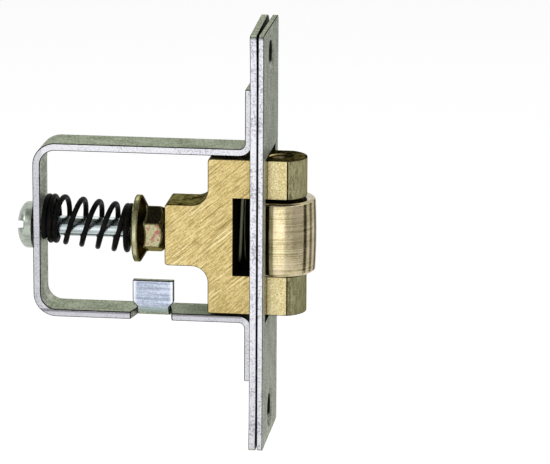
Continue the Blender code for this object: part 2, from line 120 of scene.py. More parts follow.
class Wire:
    """A socket of a node tree. Sums and products of it add Math nodes, and node() adds any other node."""

    def __init__(self, tree, socket=None):
        self.tree, self.socket = tree, socket

    def plug(self, node, values):
        for name, value in values.items():
            if isinstance(value, Wire):
                self.tree.links.new(value.socket, node.inputs[name])
            else:
                node.inputs[name].default_value = value

    def node(self, kind, settings=None, values=None, output=0):
        made = self.tree.nodes.new(kind)
        for name, value in (settings or {}).items():
            setattr(made, name, value)
        self.plug(made, values or {})
        return Wire(self.tree, made.outputs[output])

    def math(self, operation, first, second=0.0):
        return self.node("ShaderNodeMath", {"operation": operation}, {0: first, 1: second})

    def __add__(self, other):
        return self.math("ADD", self, other)

    def __sub__(self, other):
        return self.math("SUBTRACT", self, other)

    def __rsub__(self, other):
        return self.math("SUBTRACT", other, self)

    def __mul__(self, other):
        return self.math("MULTIPLY", self, other)

    def __abs__(self):
        return self.math("ABSOLUTE", self)

    __radd__ = __add__
    __rmul__ = __mul__

    def mask(self, low, high):
        """0 where this value is under low, 1 where it is over high, with a soft change between."""
        values = {"Value": self, "From Min": low, "From Max": high}
        return self.node("ShaderNodeMapRange", {"interpolation_type": "SMOOTHSTEP"}, values)

    def mix(self, first, second):
        """The colour first where this value is 0, and second where it is 1."""
        return self.node("ShaderNodeMix", {"data_type": "RGBA"}, {0: self, 6: first, 7: second}, output=2)

    def part(self, axis):
        return self.node("ShaderNodeSeparateXYZ", {}, {"Vector": self}, output=axis)


def background_ray(wire):
    """1 for rays from the camera and by way of mirrors or glass, which show the background, else 0."""
    camera_ray = wire.node("ShaderNodeLightPath", output="Is Camera Ray")
    glossy_ray = wire.node("ShaderNodeLightPath", output="Is Glossy Ray")
    glass_ray = wire.node("ShaderNodeLightPath", output="Is Transmission Ray")
    return wire.math("MAXIMUM", camera_ray, wire.math("MAXIMUM", glossy_ray, glass_ray))


def add_object(name, bm):
    mesh = bpy.data.meshes.new(name)
    bm.to_mesh(mesh)
    bm.free()
    obj = bpy.data.objects.new(name, mesh)
    bpy.context.scene.collection.objects.link(obj)
    return obj


world = bpy.data.worlds.new("white_surround")
world.use_nodes = True
bpy.context.scene.world = world
wire = Wire(world.node_tree)
on_surfaces = wire.node("ShaderNodeBackground", {}, {"Color": WHITE, "Strength": SURROUND_ON_SURFACES})
in_view = wire.node("ShaderNodeBackground", {}, {"Color": WHITE, "Strength": 1.0})
surround = wire.node("ShaderNodeMixShader", {}, {0: background_ray(wire), 1: on_surfaces, 2: in_view})
wire.plug(world.node_tree.nodes["World Output"], {"Surface": surround})

bm = bmesh.new()
bmesh.ops.create_circle(bm, cap_ends=True, segments=FLOOR_STEPS, radius=FLOOR_RADIUS)
bmesh.ops.translate(bm, vec=(0, 0, FLOOR_HEIGHT), verts=bm.verts)
floor = add_object("floor", bm)
floor_paint = bpy.data.materials.new("floor_paint")
floor_paint.use_nodes = True
wire = Wire(floor_paint.node_tree)
lit = wire.node("ShaderNodeBsdfDiffuse", {}, {"Color": FLOOR_COLOUR})
glow = wire.node("ShaderNodeEmission", {}, {"Color": WHITE, "Strength": background_ray(wire) * FLOOR_GLOW})
bright = wire.node("ShaderNodeAddShader", {}, {0: lit, 1: glow})
wire.plug(floor_paint.node_tree.nodes["Material Output"], {"Surface": bright})
floor.data.materials.append(floor_paint)

for softbox in SOFTBOXES:
    lamp = bpy.data.objects.new("softbox", bpy.data.lights.new("softbox", "AREA"))
    bpy.context.scene.collection.objects.link(lamp)
    lamp.data.shape = "RECTANGLE"
    lamp.data.size, lamp.data.size_y = softbox["width"], softbox["height"]
    lamp.data.energy = softbox["power"]
    place = direction(softbox["azimuth"], softbox["elevation"]) * softbox["distance"]
    lamp.matrix_world = Matrix.Translation(place) @ look_back(place).to_matrix().to_4x4()

for number, card in enumerate(CARDS):
    place = direction(card["azimuth"], card["elevation"]) * card["distance"]
    stand = Matrix.Translation(place) @ look_back(place).to_matrix().to_4x4()
    bm = bmesh.new()
    bmesh.ops.create_grid(bm, x_segments=1, y_segments=1, size=0.5)
    bmesh.ops.scale(bm, vec=(card["width"], card["height"], 1), verts=bm.verts)
    bmesh.ops.transform(bm, matrix=stand, verts=bm.verts)
    board = add_object(f"card_{number}", bm)
    card_paint = bpy.data.materials.new(f"card_paint_{number}")
    card_paint.use_nodes = True
    wire = Wire(card_paint.node_tree)
    shade = wire.node("ShaderNodeEmission", {}, {"Color": WHITE, "Strength": card["tone"]})
    wire.plug(card_paint.node_tree.nodes["Material Output"], {"Surface": shade})
    board.data.materials.append(card_paint)
    board.visible_camera = board.visible_diffuse = board.visible_shadow = board.visible_transmission = False

# Face plate of the forend.
# A flat strip of rolled steel, punched with an opening for the roller block and drilled and countersunk
# for two wood screws. It covers the backing plate, to which it is staked.
SHEET_DARK = (0.19, 0.215, 0.155, 1)
SHEET_LIGHT = (0.47, 0.51, 0.41, 1)
SHEET_SHADE = (0.04, 0.055, 0.03, 1)
# Painted light: lighter copies of the sheet's colours, for rolled faces that look along X.
UPRIGHT_DARK = (0.25, 0.26, 0.22, 1)
UPRIGHT_LIGHT = (0.70, 0.72, 0.65, 1)
SHEET_SHEEN = (0.55, 0.58, 0.50, 1)
# The sheared edges' colours: bright partly from their bare finish and partly as a painted highlight.
CUT_DARK = (0.33, 0.33, 0.37, 1)
CUT_LIGHT = (0.70, 0.70, 0.74, 1)
# The tab's face: painted pale blue as lit, with a painted highlight on its sides and painted shade at its
# root.
TAB_LIT_DARK = (0.31, 0.35, 0.45, 1)
TAB_LIT_LIGHT = (0.60, 0.66, 0.78, 1)
TAB_SIDE_HIGHLIGHT = (0.88, 0.91, 0.98, 1)
TAB_ROOT_SHADE = (0.30, 0.38, 0.30, 1)
TAB_MIDDLE = -19.5 * MM
UNLIT = (0.012, 0.013, 0.010, 1)
# The arrises' colours, painted dark as lines of shade along the edges.
ARRIS_SHADE_DARK = (0.010, 0.007, 0.007, 1)
ARRIS_SHADE_LIGHT = (0.13, 0.12, 0.13, 1)
ARRIS_SHEEN = (0.15, 0.15, 0.15, 1)
ROLLING_LINES = (6.0 * MM, 1.2 * MM, 6.0 * MM)
SHEET_GRAIN = (0.25 * MM, 1.1 * MM, 0.25 * MM)
CUT_GRAIN = 0.30 * MM
BEND_LINES = (9.0 * MM, 1.0 * MM, 0.30 * MM)
SHEET_CLOUD = 4.0 * MM
SHEET_RELIEF = 0.04 * MM
ARRIS_GRAIN = 0.5 * MM
ARRIS_CONTRAST = (0.48, 0.72)
FOREND_CORNER = 0.9 * MM
OPENING_CORNER = 0.4 * MM
CORNER_STEPS = 6
OPENING_WIDTH = 13.2 * MM
OPENING_HEIGHT = 27.5 * MM
SCREW_FROM_END = 4.75 * MM
SINK_RADIUS = 3.3 * MM
HOLE_RADIUS = 2.0 * MM
HOLE_STEPS = 64
ARRIS = 0.13 * MM
PLATE_ARRIS = 0.10 * MM
ARRIS_STEPS = 2
SHARP_FROM = math.radians(18)
SQUARE_FROM = math.radians(60)
TOUCHING = 0.001 * MM
NEARBY = 0.01 * MM
FACING_X = Matrix.Rotation(math.radians(90), 4, "Y")


def noise(wire, where, size, detail=4.0, roughness=0.55):
    """Soft noise from about 0.3 to 0.7, whose largest blots are of this size."""
    values = {"Vector": where, "Scale": 1 / size, "Detail": detail, "Roughness": roughness}
    return wire.node("ShaderNodeTexNoise", {}, values)


def stretched(wire, where, sizes, turn=(0, 0, 0)):
    """Coordinates turned first and then divided by a size along each of the turned axes."""
    values = {"Vector": where, "Rotation": turn, "Scale": sizes}
    return wire.node("ShaderNodeMapping", {"vector_type": "TEXTURE"}, values)


def start_metal(name, sheen=WHITE):
    """A metal's material, its first wire, and the places and directions on the piece."""
    material = bpy.data.materials.new(name)
    material.use_nodes = True
    wire = Wire(material.node_tree)
    shader = material.node_tree.nodes["Principled BSDF"]
    wire.plug(shader, {"Metallic": 1.0, "Specular Tint": sheen})
    where = wire.node("ShaderNodeTexCoord", output="Object")
    facing = wire.node("ShaderNodeTexCoord", output="Normal")
    return material, shader, wire, where, facing


def bump(wire, height, depth):
    return wire.node("ShaderNodeBump", {}, {"Strength": 1.0, "Distance": depth, "Height": height})


# Where the masks of the sheet's finish and of its painted light and shade begin and end their soft change.
# The first four compare noise, the next two how far a face is turned to an axis, and the rest compare places
# on the sheet.
SHEET_CONTRAST = (0.38, 0.62)
CUT_CONTRAST = (0.34, 0.54)
TAB_LIT_CONTRAST = (0.38, 0.60)
SHADOW_LINE_CONTRAST = (0.3, 0.5)
FACING = (0.5, 0.8)
FACING_CUT = (0.75, 0.95)
UNDER_BLOCK = (-17.0 * MM, -12.0 * MM)
BOTTOM_ARM_TOP = (-14.0 * MM, -13.0 * MM)
FROM_EDGE = (0.5 * MM, 0.3 * MM)
TAB_SIDES = (2.6 * MM, 3.2 * MM)
TAB_ROOT = (12.6 * MM, 13.7 * MM)
SHADOW_LINE_TOP = (13.45 * MM, 13.5 * MM)
SHADOW_LINE_FOOT = (13.85 * MM, 14.1 * MM)
BEHIND_FLANGE = (4.2 * MM, 4.6 * MM)
BEHIND_PLATES = (3.8 * MM, 4.2 * MM)
BOTTOM_ARM = (12.8 * MM, 13.4 * MM)
REAR_WALL = (37.6 * MM, 38.0 * MM)


def rolled_steel(name, edge, unlit=None):
    """Satin rolled sheet, greenish grey, bright where sheared, with painted light and shade; black where
    unlit.
    """
    material, shader, wire, where, facing = start_metal(name, SHEET_SHEEN)
    lines = noise(wire, stretched(wire, where, ROLLING_LINES), 1.0, detail=3.0)
    grain = noise(wire, stretched(wire, where, SHEET_GRAIN), 1.0)
    cloud = noise(wire, where, SHEET_CLOUD, detail=2.0)
    speckle = noise(wire, where, CUT_GRAIN)
    bands = noise(wire, stretched(wire, where, BEND_LINES), 1.0, detail=3.0)
    x, z, below, behind = where.part("X"), where.part("Z"), 0 - where.part("Z"), 0 - where.part("X")
    tone = (lines * 0.2 + grain * 0.6 + cloud * 0.2).mask(*SHEET_CONTRAST)
    # Painted light and shade: faces looking along X are lighter, faces looking up or down darker.
    upright = tone.mix(UPRIGHT_DARK, UPRIGHT_LIGHT)
    level = tone.mix(SHEET_DARK, SHEET_LIGHT)
    shaded = x.mask(*UNDER_BLOCK) * (1 - z.mask(*BOTTOM_ARM_TOP)) * facing.part("Z").mask(*FACING)
    level = (shaded * 0.85).mix(level, SHEET_SHADE)
    face = abs(facing.part("X")).mask(*FACING).mix(level, upright)
    # Painted light on the tab's face, a painted highlight along its sides and painted shade at its root.
    lit_tab = (bands * 0.65 + speckle * 0.35).mask(*TAB_LIT_CONTRAST).mix(TAB_LIT_DARK, TAB_LIT_LIGHT)
    lit_tab = (abs(x - TAB_MIDDLE).mask(*TAB_SIDES) * 0.8).mix(lit_tab, TAB_SIDE_HIGHLIGHT)
    lit_tab = (below.mask(*TAB_ROOT) * 0.7).mix(lit_tab, TAB_ROOT_SHADE)
    # The sheared edges are bright, partly their own bare finish and partly a painted highlight.
    cut = (speckle * 0.7 + cloud * 0.3).mask(*CUT_CONTRAST).mix(CUT_DARK, CUT_LIGHT)
    # A painted shadow line along the top of the bottom arm's cut edge.
    shadow_line = below.mask(*SHADOW_LINE_TOP) * (1 - below.mask(*SHADOW_LINE_FOOT)) * behind.mask(*BEHIND_FLANGE)
    cut = (shadow_line * speckle.mask(*SHADOW_LINE_CONTRAST)).mix(cut, ARRIS_SHADE_LIGHT)
    # The cut edges of the bottom arm and of the rear wall are made darker.
    darker_cut = wire.math("MAXIMUM", below.mask(*BOTTOM_ARM), behind.mask(*REAR_WALL))
    cut = (darker_cut * behind.mask(*BEHIND_PLATES) * 0.4).mix(cut, CUT_DARK)
    inside = 1 - abs(where.part("Y")).mask(*(edge - depth for depth in FROM_EDGE))
    cut = inside.mix(cut, lit_tab)
    colour = abs(facing.part("Y")).mask(*FACING_CUT).mix(face, cut)
    if unlit:
        colour = unlit(wire, where, facing).mix(colour, UNLIT)
    wire.plug(
        shader,
        {
            "Base Color": colour,
            "Roughness": 0.34 + grain * 0.22,
            "Normal": bump(wire, lines * 0.3 + grain * 0.7, SHEET_RELIEF),
        },
    )
    return material


# The same for the painted black shade in the screw holes, measured from their middle, in the opening and on
# the plates' inner faces.
BORE_EDGE = (2.3 * MM, 2.45 * MM)
CONE_EDGE = (3.0 * MM, 3.12 * MM)
CONE_ENDS = (1.5 * MM, 2.3 * MM)
SINK_EDGE = (3.28 * MM, 3.36 * MM)
OPENING_SIDE = (6.7 * MM, 6.8 * MM)
OPENING_END = (13.8 * MM, 13.9 * MM)
FACE_PLATE_BACK = (-1.04 * MM, -0.98 * MM)
BACKING_PLATE_FRONT = (-0.98 * MM, -0.92 * MM)


def between_plates(wire, where, facing):
    """1 inside the holes and the opening and on the faces the two plates turn to each other: painted shade.
    """
    x, y, z = where.part("X"), where.part("Y"), abs(where.part("Z"))
    from_screw = z - (plate_high.z - SCREW_FROM_END)
    square = y * y + from_screw * from_screw
    bore, cone, sink = (
        1 - square.mask(*(radius**2 for radius in ring)) for ring in (BORE_EDGE, CONE_EDGE, SINK_EDGE)
    )
    cone, sink = cone * (1 - abs(from_screw).mask(*CONE_ENDS)), sink * 0.3
    opening = (1 - abs(y).mask(*OPENING_SIDE)) * (1 - z.mask(*OPENING_END))
    turned_in = x.mask(*FACE_PLATE_BACK) * (0 - facing.part("X")).mask(*FACING)
    turned_out = (1 - x.mask(*BACKING_PLATE_FRONT)) * facing.part("X").mask(*FACING)
    screw = wire.math("MAXIMUM", bore, cone)
    holes = wire.math("MAXIMUM", wire.math("MAXIMUM", screw, sink), opening)
    return wire.math("MAXIMUM", holes, wire.math("MAXIMUM", turned_in, turned_out))


def shaded_arris(name, dark=ARRIS_SHADE_DARK, light=ARRIS_SHADE_LIGHT, unlit=None):
    """The narrow rounded edge between two faces, painted dark as a line of shade, and black where unlit."""
    material, shader, wire, where, facing = start_metal(name, ARRIS_SHEEN)
    broken = noise(wire, where, ARRIS_GRAIN, detail=3.0)
    colour = broken.mask(*ARRIS_CONTRAST).mix(dark, light)
    if unlit:
        colour = unlit(wire, where).mix(colour, UNLIT)
    wire.plug(shader, {"Base Color": colour, "Roughness": 0.35 + broken * 0.2})
    return material


def outline(bm, x, width, height, corner):
    """The edges of a rectangle with rounded corners, upright at this X."""
    place = Matrix.Translation((x, 0, 0)) @ FACING_X @ Matrix.Diagonal((height, width, 1, 1))
    corners = bmesh.ops.create_grid(bm, x_segments=1, y_segments=1, size=0.5, matrix=place)["verts"]
    bmesh.ops.bevel(
        bm, geom=corners, affect="VERTICES", offset=corner, segments=CORNER_STEPS, profile=0.5, material=-1
    )
    bmesh.ops.delete(bm, geom=bm.faces[:], context="FACES_ONLY")


def punched_strip(back, front, width, height, hole_radius):
    """A flat plate from back to front, with the forend's opening and its two screw holes."""
    bm = bmesh.new()
    outline(bm, back, width, height, FOREND_CORNER)
    outline(bm, back, OPENING_WIDTH, OPENING_HEIGHT, OPENING_CORNER)
    for side in (1, -1):
        place = Matrix.Translation((back, 0, side * (height / 2 - SCREW_FROM_END))) @ FACING_X
        bmesh.ops.create_circle(bm, cap_ends=False, segments=HOLE_STEPS, radius=hole_radius, matrix=place)
    bmesh.ops.triangle_fill(bm, use_beauty=True, edges=bm.edges[:])
    raised = bmesh.ops.extrude_face_region(bm, geom=bm.faces[:])["geom"]
    front_verts = [part for part in raised if isinstance(part, bmesh.types.BMVert)]
    bmesh.ops.translate(bm, vec=(front - back, 0, 0), verts=front_verts)
    bmesh.ops.recalc_face_normals(bm, faces=bm.faces)
    return bm


def widen_holes(bm, x, height, radius, wider):
    """Opens the screw holes' edges at this X from one radius to a wider one, as a countersink does."""
    for side in (1, -1):
        axis = Vector((x, 0, side * (height / 2 - SCREW_FROM_END)))
        level = [v for v in bm.verts if abs(v.co.x - x) < TOUCHING]
        ring = [v for v in level if abs((v.co - axis).length - radius) < NEARBY]
        stretch = (1, wider / radius, wider / radius)
        bmesh.ops.scale(bm, vec=stretch, space=Matrix.Translation(-axis), verts=ring)


def finish_piece(obj, materials, body, node, arris=ARRIS, broken_from=SHARP_FROM):
    """Rounds the sharp edges, shades the rest smooth, and lets the piece stand for its node."""
    for material in materials:
        obj.data.materials.append(material)
    obj.data.shade_smooth()
    obj.data.set_sharp_from_angle(angle=SHARP_FROM)
    if arris:
        edges = obj.modifiers.new("Broken edges", "BEVEL")
        edges.width = arris
        edges.segments = ARRIS_STEPS
        edges.use_clamp_overlap = False
        edges.loop_slide = False
        edges.limit_method = "ANGLE"
        edges.angle_limit = broken_from
        edges.material = len(materials) - 1
    even = obj.modifiers.new("Even shading", "WEIGHTED_NORMAL")
    even.keep_sharp = True
    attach(obj, body)
    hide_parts(node)


plate_low, plate_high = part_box("face_plate")
steel = rolled_steel("forend_steel", plate_high.y, between_plates)
steel_arris_shade = shaded_arris("steel_arris_shade")
forend_width, forend_height = plate_high.y - plate_low.y, plate_high.z - plate_low.z
face_thickness = plate_high.x - plate_low.x
bm = punched_strip(plate_low.x, plate_high.x, forend_width, forend_height, SINK_RADIUS - face_thickness)
widen_holes(bm, plate_high.x, forend_height, SINK_RADIUS - face_thickness, SINK_RADIUS)
forend_face = add_object("forend_face", bm)
plate_steel = [steel, steel_arris_shade]
finish_piece(forend_face, plate_steel, "case", "face_plate", PLATE_ARRIS, SQUARE_FROM)

# Backing plate of the forend.
# A second strip of the same steel behind the face plate, a little thicker, which carries the bracket. Its
# ends have sprung back, most at the far edge, so that a dark wedge shows between the two plates.
PLATE_GAP = 0.16 * MM
BACKING_THICKNESS = 1.16 * MM
BOW_NEAR = 0.1 * MM
BOW_FAR = 0.6 * MM
BOW_STEPS = 14
bracket_low, bracket_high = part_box("bracket")
backing_front = plate_low.x - PLATE_GAP
backing_back = backing_front - BACKING_THICKNESS
sink_at_front = SINK_RADIUS + backing_front
sink_end = backing_front - (sink_at_front - HOLE_RADIUS)
bow_start = bracket_high.z
bow_length = plate_high.z - bow_start
bm = punched_strip(backing_back, backing_front, forend_width, forend_height, HOLE_RADIUS)
cuts = [((sink_end, 0, 0), (1, 0, 0))]
for step in range(BOW_STEPS):
    level = bow_start + bow_length * step / BOW_STEPS
    cuts += [((0, 0, level), (0, 0, 1)), ((0, 0, -level), (0, 0, 1))]
for point, normal in cuts:
    whole = bm.verts[:] + bm.edges[:] + bm.faces[:]
    bmesh.ops.bisect_plane(bm, geom=whole, dist=TOUCHING, plane_co=point, plane_no=normal)
widen_holes(bm, backing_front, forend_height, HOLE_RADIUS, sink_at_front)
for vert in bm.verts:
    share = max(0.0, (abs(vert.co.z) - bow_start) / bow_length)
    across = vert.co.y / forend_width + 0.5
    vert.co.x -= share**2 * (BOW_NEAR + (BOW_FAR - BOW_NEAR) * across)
forend_backing = add_object("forend_backing", bm)
finish_piece(forend_backing, plate_steel, "case", "backing_plate", PLATE_ARRIS, SQUARE_FROM)

# Bracket.
# One strip of sheet folded into a U, with a flange turned outwards at each end on the back of the backing
# plate, and a stop tab folded up from the near edge of the bottom arm between two relief notches.
SHEET = 1.25 * MM
REAR_BEND = 3.2 * MM
FLANGE_BEND = 1.6 * MM
BEND_STEPS = 12
SHANK_HOLE_RADIUS = 2.3 * MM
TAB_WIDTH = 6.9 * MM
TAB_WAIST = 5.4 * MM
TAB_FLARE = 0.8 * MM
TAB_HEIGHT = 6.2 * MM
TAB_SETBACK = 2.2 * MM
TAB_BEND = 1.1 * MM
ARM_OUTER = 14.8 * MM
BRACKET_ARRIS = 0.15 * MM


def across(bm, x, z):
    """The edges along Y at this X, at this height above and below the middle."""
    found = []
    for edge in bm.edges:
        first, second = (vert.co for vert in edge.verts)
        if abs(first.x - x) + abs(second.x - x) + abs(abs(first.z) - z) + abs(first.z - second.z) < NEARBY:
            found.append(edge)
    return found


def new_verts(made):
    return [part for part in made["geom"] if isinstance(part, bmesh.types.BMVert)]


def nearest(bm, point):
    return min(bm.verts, key=lambda vert: (vert.co - Vector(point)).length)


def carve(obj, tool_bm, operation="DIFFERENCE"):
    """Cuts a closed shape out of the object, or joins it to it, and keeps only the result."""
    tool = add_object("tool", tool_bm)
    boolean = obj.modifiers.new("Carve", "BOOLEAN")
    boolean.operation = operation
    boolean.object = tool
    carved = bpy.data.meshes.new_from_object(obj.evaluated_get(bpy.context.evaluated_depsgraph_get()))
    obj.modifiers.remove(boolean)
    obj.data = carved
    bpy.data.objects.remove(tool)


def rod(radius, low_x, high_x, steps=HOLE_STEPS):
    """A closed cylinder or prism on the screw's axis, between two places along X."""
    bm = bmesh.new()
    place = Matrix.Translation(((low_x + high_x) / 2, 0, 0)) @ FACING_X
    bmesh.ops.create_cone(
        bm, cap_ends=True, segments=steps, radius1=radius, radius2=radius, depth=high_x - low_x, matrix=place
    )
    return bm


near_edge = bracket_low.y
flange_x = bracket_high.x - SHEET / 2
rear_x = bracket_low.x + SHEET / 2
arm_z = ARM_OUTER - SHEET / 2
fold = near_edge + TAB_SETBACK + SHEET / 2 + TAB_BEND
corners = [(flange_x, bracket_high.z), (flange_x, arm_z), (rear_x, arm_z), (rear_x, -arm_z)]
corners += [(TAB_MIDDLE + step / 2, -arm_z) for step in (-TAB_WIDTH, -TAB_WAIST, TAB_WAIST, TAB_WIDTH)]
corners += [(flange_x, -arm_z), (flange_x, bracket_low.z)]
bm = bmesh.new()
row = [bm.verts.new((x, near_edge, z)) for x, z in corners]
edges = [bm.edges.new(pair) for pair in zip(row, row[1:])]
for width in (fold - near_edge, bracket_high.y - fold):
    made = bmesh.ops.extrude_edge_only(bm, edges=edges)
    row = new_verts(made)
    bmesh.ops.translate(bm, vec=(0, width, 0), verts=row)
    edges = [e for e in made["geom"] if isinstance(e, bmesh.types.BMEdge) and all(v in row for v in e.verts)]

tab_root = Vector((TAB_MIDDLE, near_edge, -arm_z))
notched = min(bm.faces, key=lambda face: (face.calc_center_median() - tab_root).length)
bmesh.ops.delete(bm, geom=[notched], context="FACES_ONLY")
narrow = [nearest(bm, (TAB_MIDDLE + side * TAB_WAIST / 2, near_edge, -arm_z)) for side in (-1, 1)]
wide = [nearest(bm, (TAB_MIDDLE + side * TAB_WIDTH / 2, near_edge, -arm_z)) for side in (-1, 1)]
bmesh.ops.delete(bm, geom=[bm.edges.get(narrow)], context="EDGES")
bmesh.ops.weld_verts(bm, targetmap=dict(zip(narrow, wide)))
ends = [nearest(bm, (TAB_MIDDLE + side * TAB_WAIST / 2, fold, -arm_z)) for side in (-1, 1)]
tab = bmesh.ops.spin(
    bm,
    geom=[*ends, bm.edges.get(ends)],
    cent=(0, fold, TAB_BEND - arm_z),
    axis=(1, 0, 0),
    angle=-math.pi / 2,
    steps=BEND_STEPS,
)["geom_last"]
for height, wider in ((TAB_BEND - arm_z + TAB_FLARE, TAB_WIDTH / TAB_WAIST), (TAB_HEIGHT - ARM_OUTER, 1)):
    edge = [part for part in tab if isinstance(part, bmesh.types.BMEdge)]
    made = bmesh.ops.extrude_edge_only(bm, edges=edge)
    top = new_verts(made)
    for vert in top:
        vert.co.z = height
        vert.co.x = TAB_MIDDLE + (vert.co.x - TAB_MIDDLE) * wider
    tab = [bm.edges.get(top)]
for radius, x in ((REAR_BEND, rear_x), (FLANGE_BEND, flange_x)):
    folds = across(bm, x, arm_z)
    bmesh.ops.bevel(
        bm, geom=folds, affect="EDGES", offset=radius, segments=BEND_STEPS, profile=0.5, material=-1
    )
bmesh.ops.recalc_face_normals(bm, faces=bm.faces)
folded_bracket = add_object("folded_bracket", bm)
thickness = folded_bracket.modifiers.new("Thickness", "SOLIDIFY")
thickness.thickness = SHEET
thickness.offset = 0
thickness.use_even_offset = True
carve(folded_bracket, rod(SHANK_HOLE_RADIUS, bracket_low.x - MM, rear_x + SHEET))
folded_bracket.modifiers.remove(folded_bracket.modifiers["Thickness"])
strip_steel = rolled_steel("bracket_steel", bracket_high.y)
finish_piece(folded_bracket, [strip_steel, steel_arris_shade], "case", "bracket", BRACKET_ARRIS)

# Roller block.
# A slice sawn from a drawn brass bar of T section, so its two broad faces show the saw's slanting lines
# while the drawn faces are dull and dark, partly from the drawing and partly painted shade. Its nose is
# turned round, and it is slotted for the roller.
SAWN_DARK = (0.37, 0.28, 0.10, 1)
SAWN_LIGHT_AND_GLINT = (0.72, 0.58, 0.27, 1)
# Painted light: the broad faces ahead of the forend, lighter as lit.
AHEAD_LIT_DARK = (0.70, 0.54, 0.22, 1)
AHEAD_LIT_LIGHT = (1.0, 0.94, 0.60, 1)
BRASS_SHEEN = (0.22, 0.20, 0.12, 1)
FOREND_LINE_DARK = (0.10, 0.045, 0.02, 1)
# The slot's walls behind the forend: painted black shade, with a pale painted streak on the back wall.
SLOT_DARK = (0.006, 0.006, 0.005, 1)
SLOT_GLEAM = (0.80, 0.90, 0.86, 1)
SCRATCH_COLOUR = (0.19, 0.13, 0.035, 1)
SCRATCH_LIGHT = (0.92, 0.82, 0.50, 1)
DRAWN_DARK_AND_SHADE = (0.035, 0.033, 0.014, 1)
DRAWN_LIGHT = (0.34, 0.32, 0.17, 1)
NOSE_DARK_AND_SHADE = (0.13, 0.125, 0.06, 1)
NOSE_LIGHT = (0.52, 0.48, 0.27, 1)
NOSE_LIT_FRONT = (0.60, 0.57, 0.34, 1)
# The brass arrises, painted dark as lines of shade.
BRASS_ARRIS_SHADE_DARK = (0.018, 0.012, 0.006, 1)
BRASS_ARRIS_SHADE_LIGHT = (0.12, 0.085, 0.03, 1)
SLOT_SKEW = math.radians(8.2)
SAW_ANGLE = math.radians(-40)
SAW_LINES = (1.8 * MM, 1.0 * MM, 0.14 * MM)
SAW_GRAIN = 0.20 * MM
SAW_CLOUD = 6.0 * MM
SAW_RELIEF = 0.03 * MM
DRAWN_MOTTLE = 0.8 * MM
NOSE_STREAKS = (0.5 * MM, 0.5 * MM, 1.8 * MM)
DEEP_LINES = (10.0 * MM, 2.0 * MM, 0.30 * MM)
PIT_SPACING = 1.1 * MM
SHOULDER_X = -9.95 * MM
SLOT_WALL_X = -5.7 * MM
SLOT_HALF = 6.5 * MM
STEM_HALF = 5.2 * MM
STEM_FILLET = 2.7 * MM
FILLET_STEPS = 14
BLOCK_CORNER = 0.5 * MM
SAME_PLANE = math.radians(0.5)
PIN_X = 1.7 * MM
NOSE_RADIUS = 4.4 * MM
NOSE_STEPS = 36
PIN_HOLE_RADIUS = 1.7 * MM
PIN_HOLE_MOUTH = 0.35 * MM
SCREW_BORE_RADIUS = 1.95 * MM
SCREW_BORE_END = -11.9 * MM

# Where the masks of the brass begin and end their soft change: in the slot, in the noise of the sawn finish,
# of the painted light ahead of the forend and of the drawn finish, on places of the block, and by how far a
# face is turned to an axis.
SLOT_ENDS = (6.52 * MM, 6.6 * MM)
SLOT_BACK = (-5.8 * MM, -5.75 * MM)
SLOT_MOUTH = (-2.5 * MM, -1.0 * MM)
GLEAM_SLOPE = 0.15
GLEAM_MIDDLE = 0.88 * MM
GLEAM_WIDTH = (0.4 * MM, 1.1 * MM)
GLEAM_FOOT = (-5.5 * MM, -3.0 * MM)
SAW_CONTRAST = (0.43, 0.57)
BRIGHT_LINES = (0.60, 0.68)
DARK_LINES = (0.35, 0.42)
AHEAD_LIT_CONTRAST = (0.41, 0.59)
FOREND_LINE_CONTRAST = (0.35, 0.55)
DRAWN_CONTRAST = (0.40, 0.60)
PIT_EDGE = (0.06, 0.13)
PIT_PATCHES = (0.45, 0.6)
LIT_AHEAD = (-1.0 * MM, 1.0 * MM)
NOSE_FOOT = (-1.0 * MM, 0.0)
NOSE_TIP = (2.5 * MM, 6.0 * MM)
NOSE_START = (0.0, 3.0 * MM)
LOWER_NOSE = (6.0 * MM, 8.0 * MM)
MOUTH_EDGE = (PIN_HOLE_RADIUS + PIN_HOLE_MOUTH, PIN_HOLE_RADIUS + 0.5 * MM)
MOUTH_GLINT = (0.9 * MM, 2.2 * MM)
FOREND_LINE_X = -0.05 * MM
FOREND_LINE_WIDTH = (0.02 * MM, 0.14 * MM)
FACING_BROAD = (0.955, 0.985)
FACING_AHEAD = (0.3, 1.0)
FACING_ROLLER = (0.8, 0.95)


def in_slot(wire, where):
    """1 on the walls of the roller's slot behind the forend, where no light comes."""
    x, z = where.part("X"), abs(where.part("Z"))
    return (1 - z.mask(*SLOT_ENDS)) * x.mask(*SLOT_BACK) * (1 - x.mask(*SLOT_MOUTH))


def pitting(wire, where, spacing, edge):
    """1 in small pits about this far apart, 0 outside them."""
    values = {"Vector": where, "Scale": 1 / spacing}
    return 1 - wire.node("ShaderNodeTexVoronoi", {}, values, output="Distance").mask(*edge)


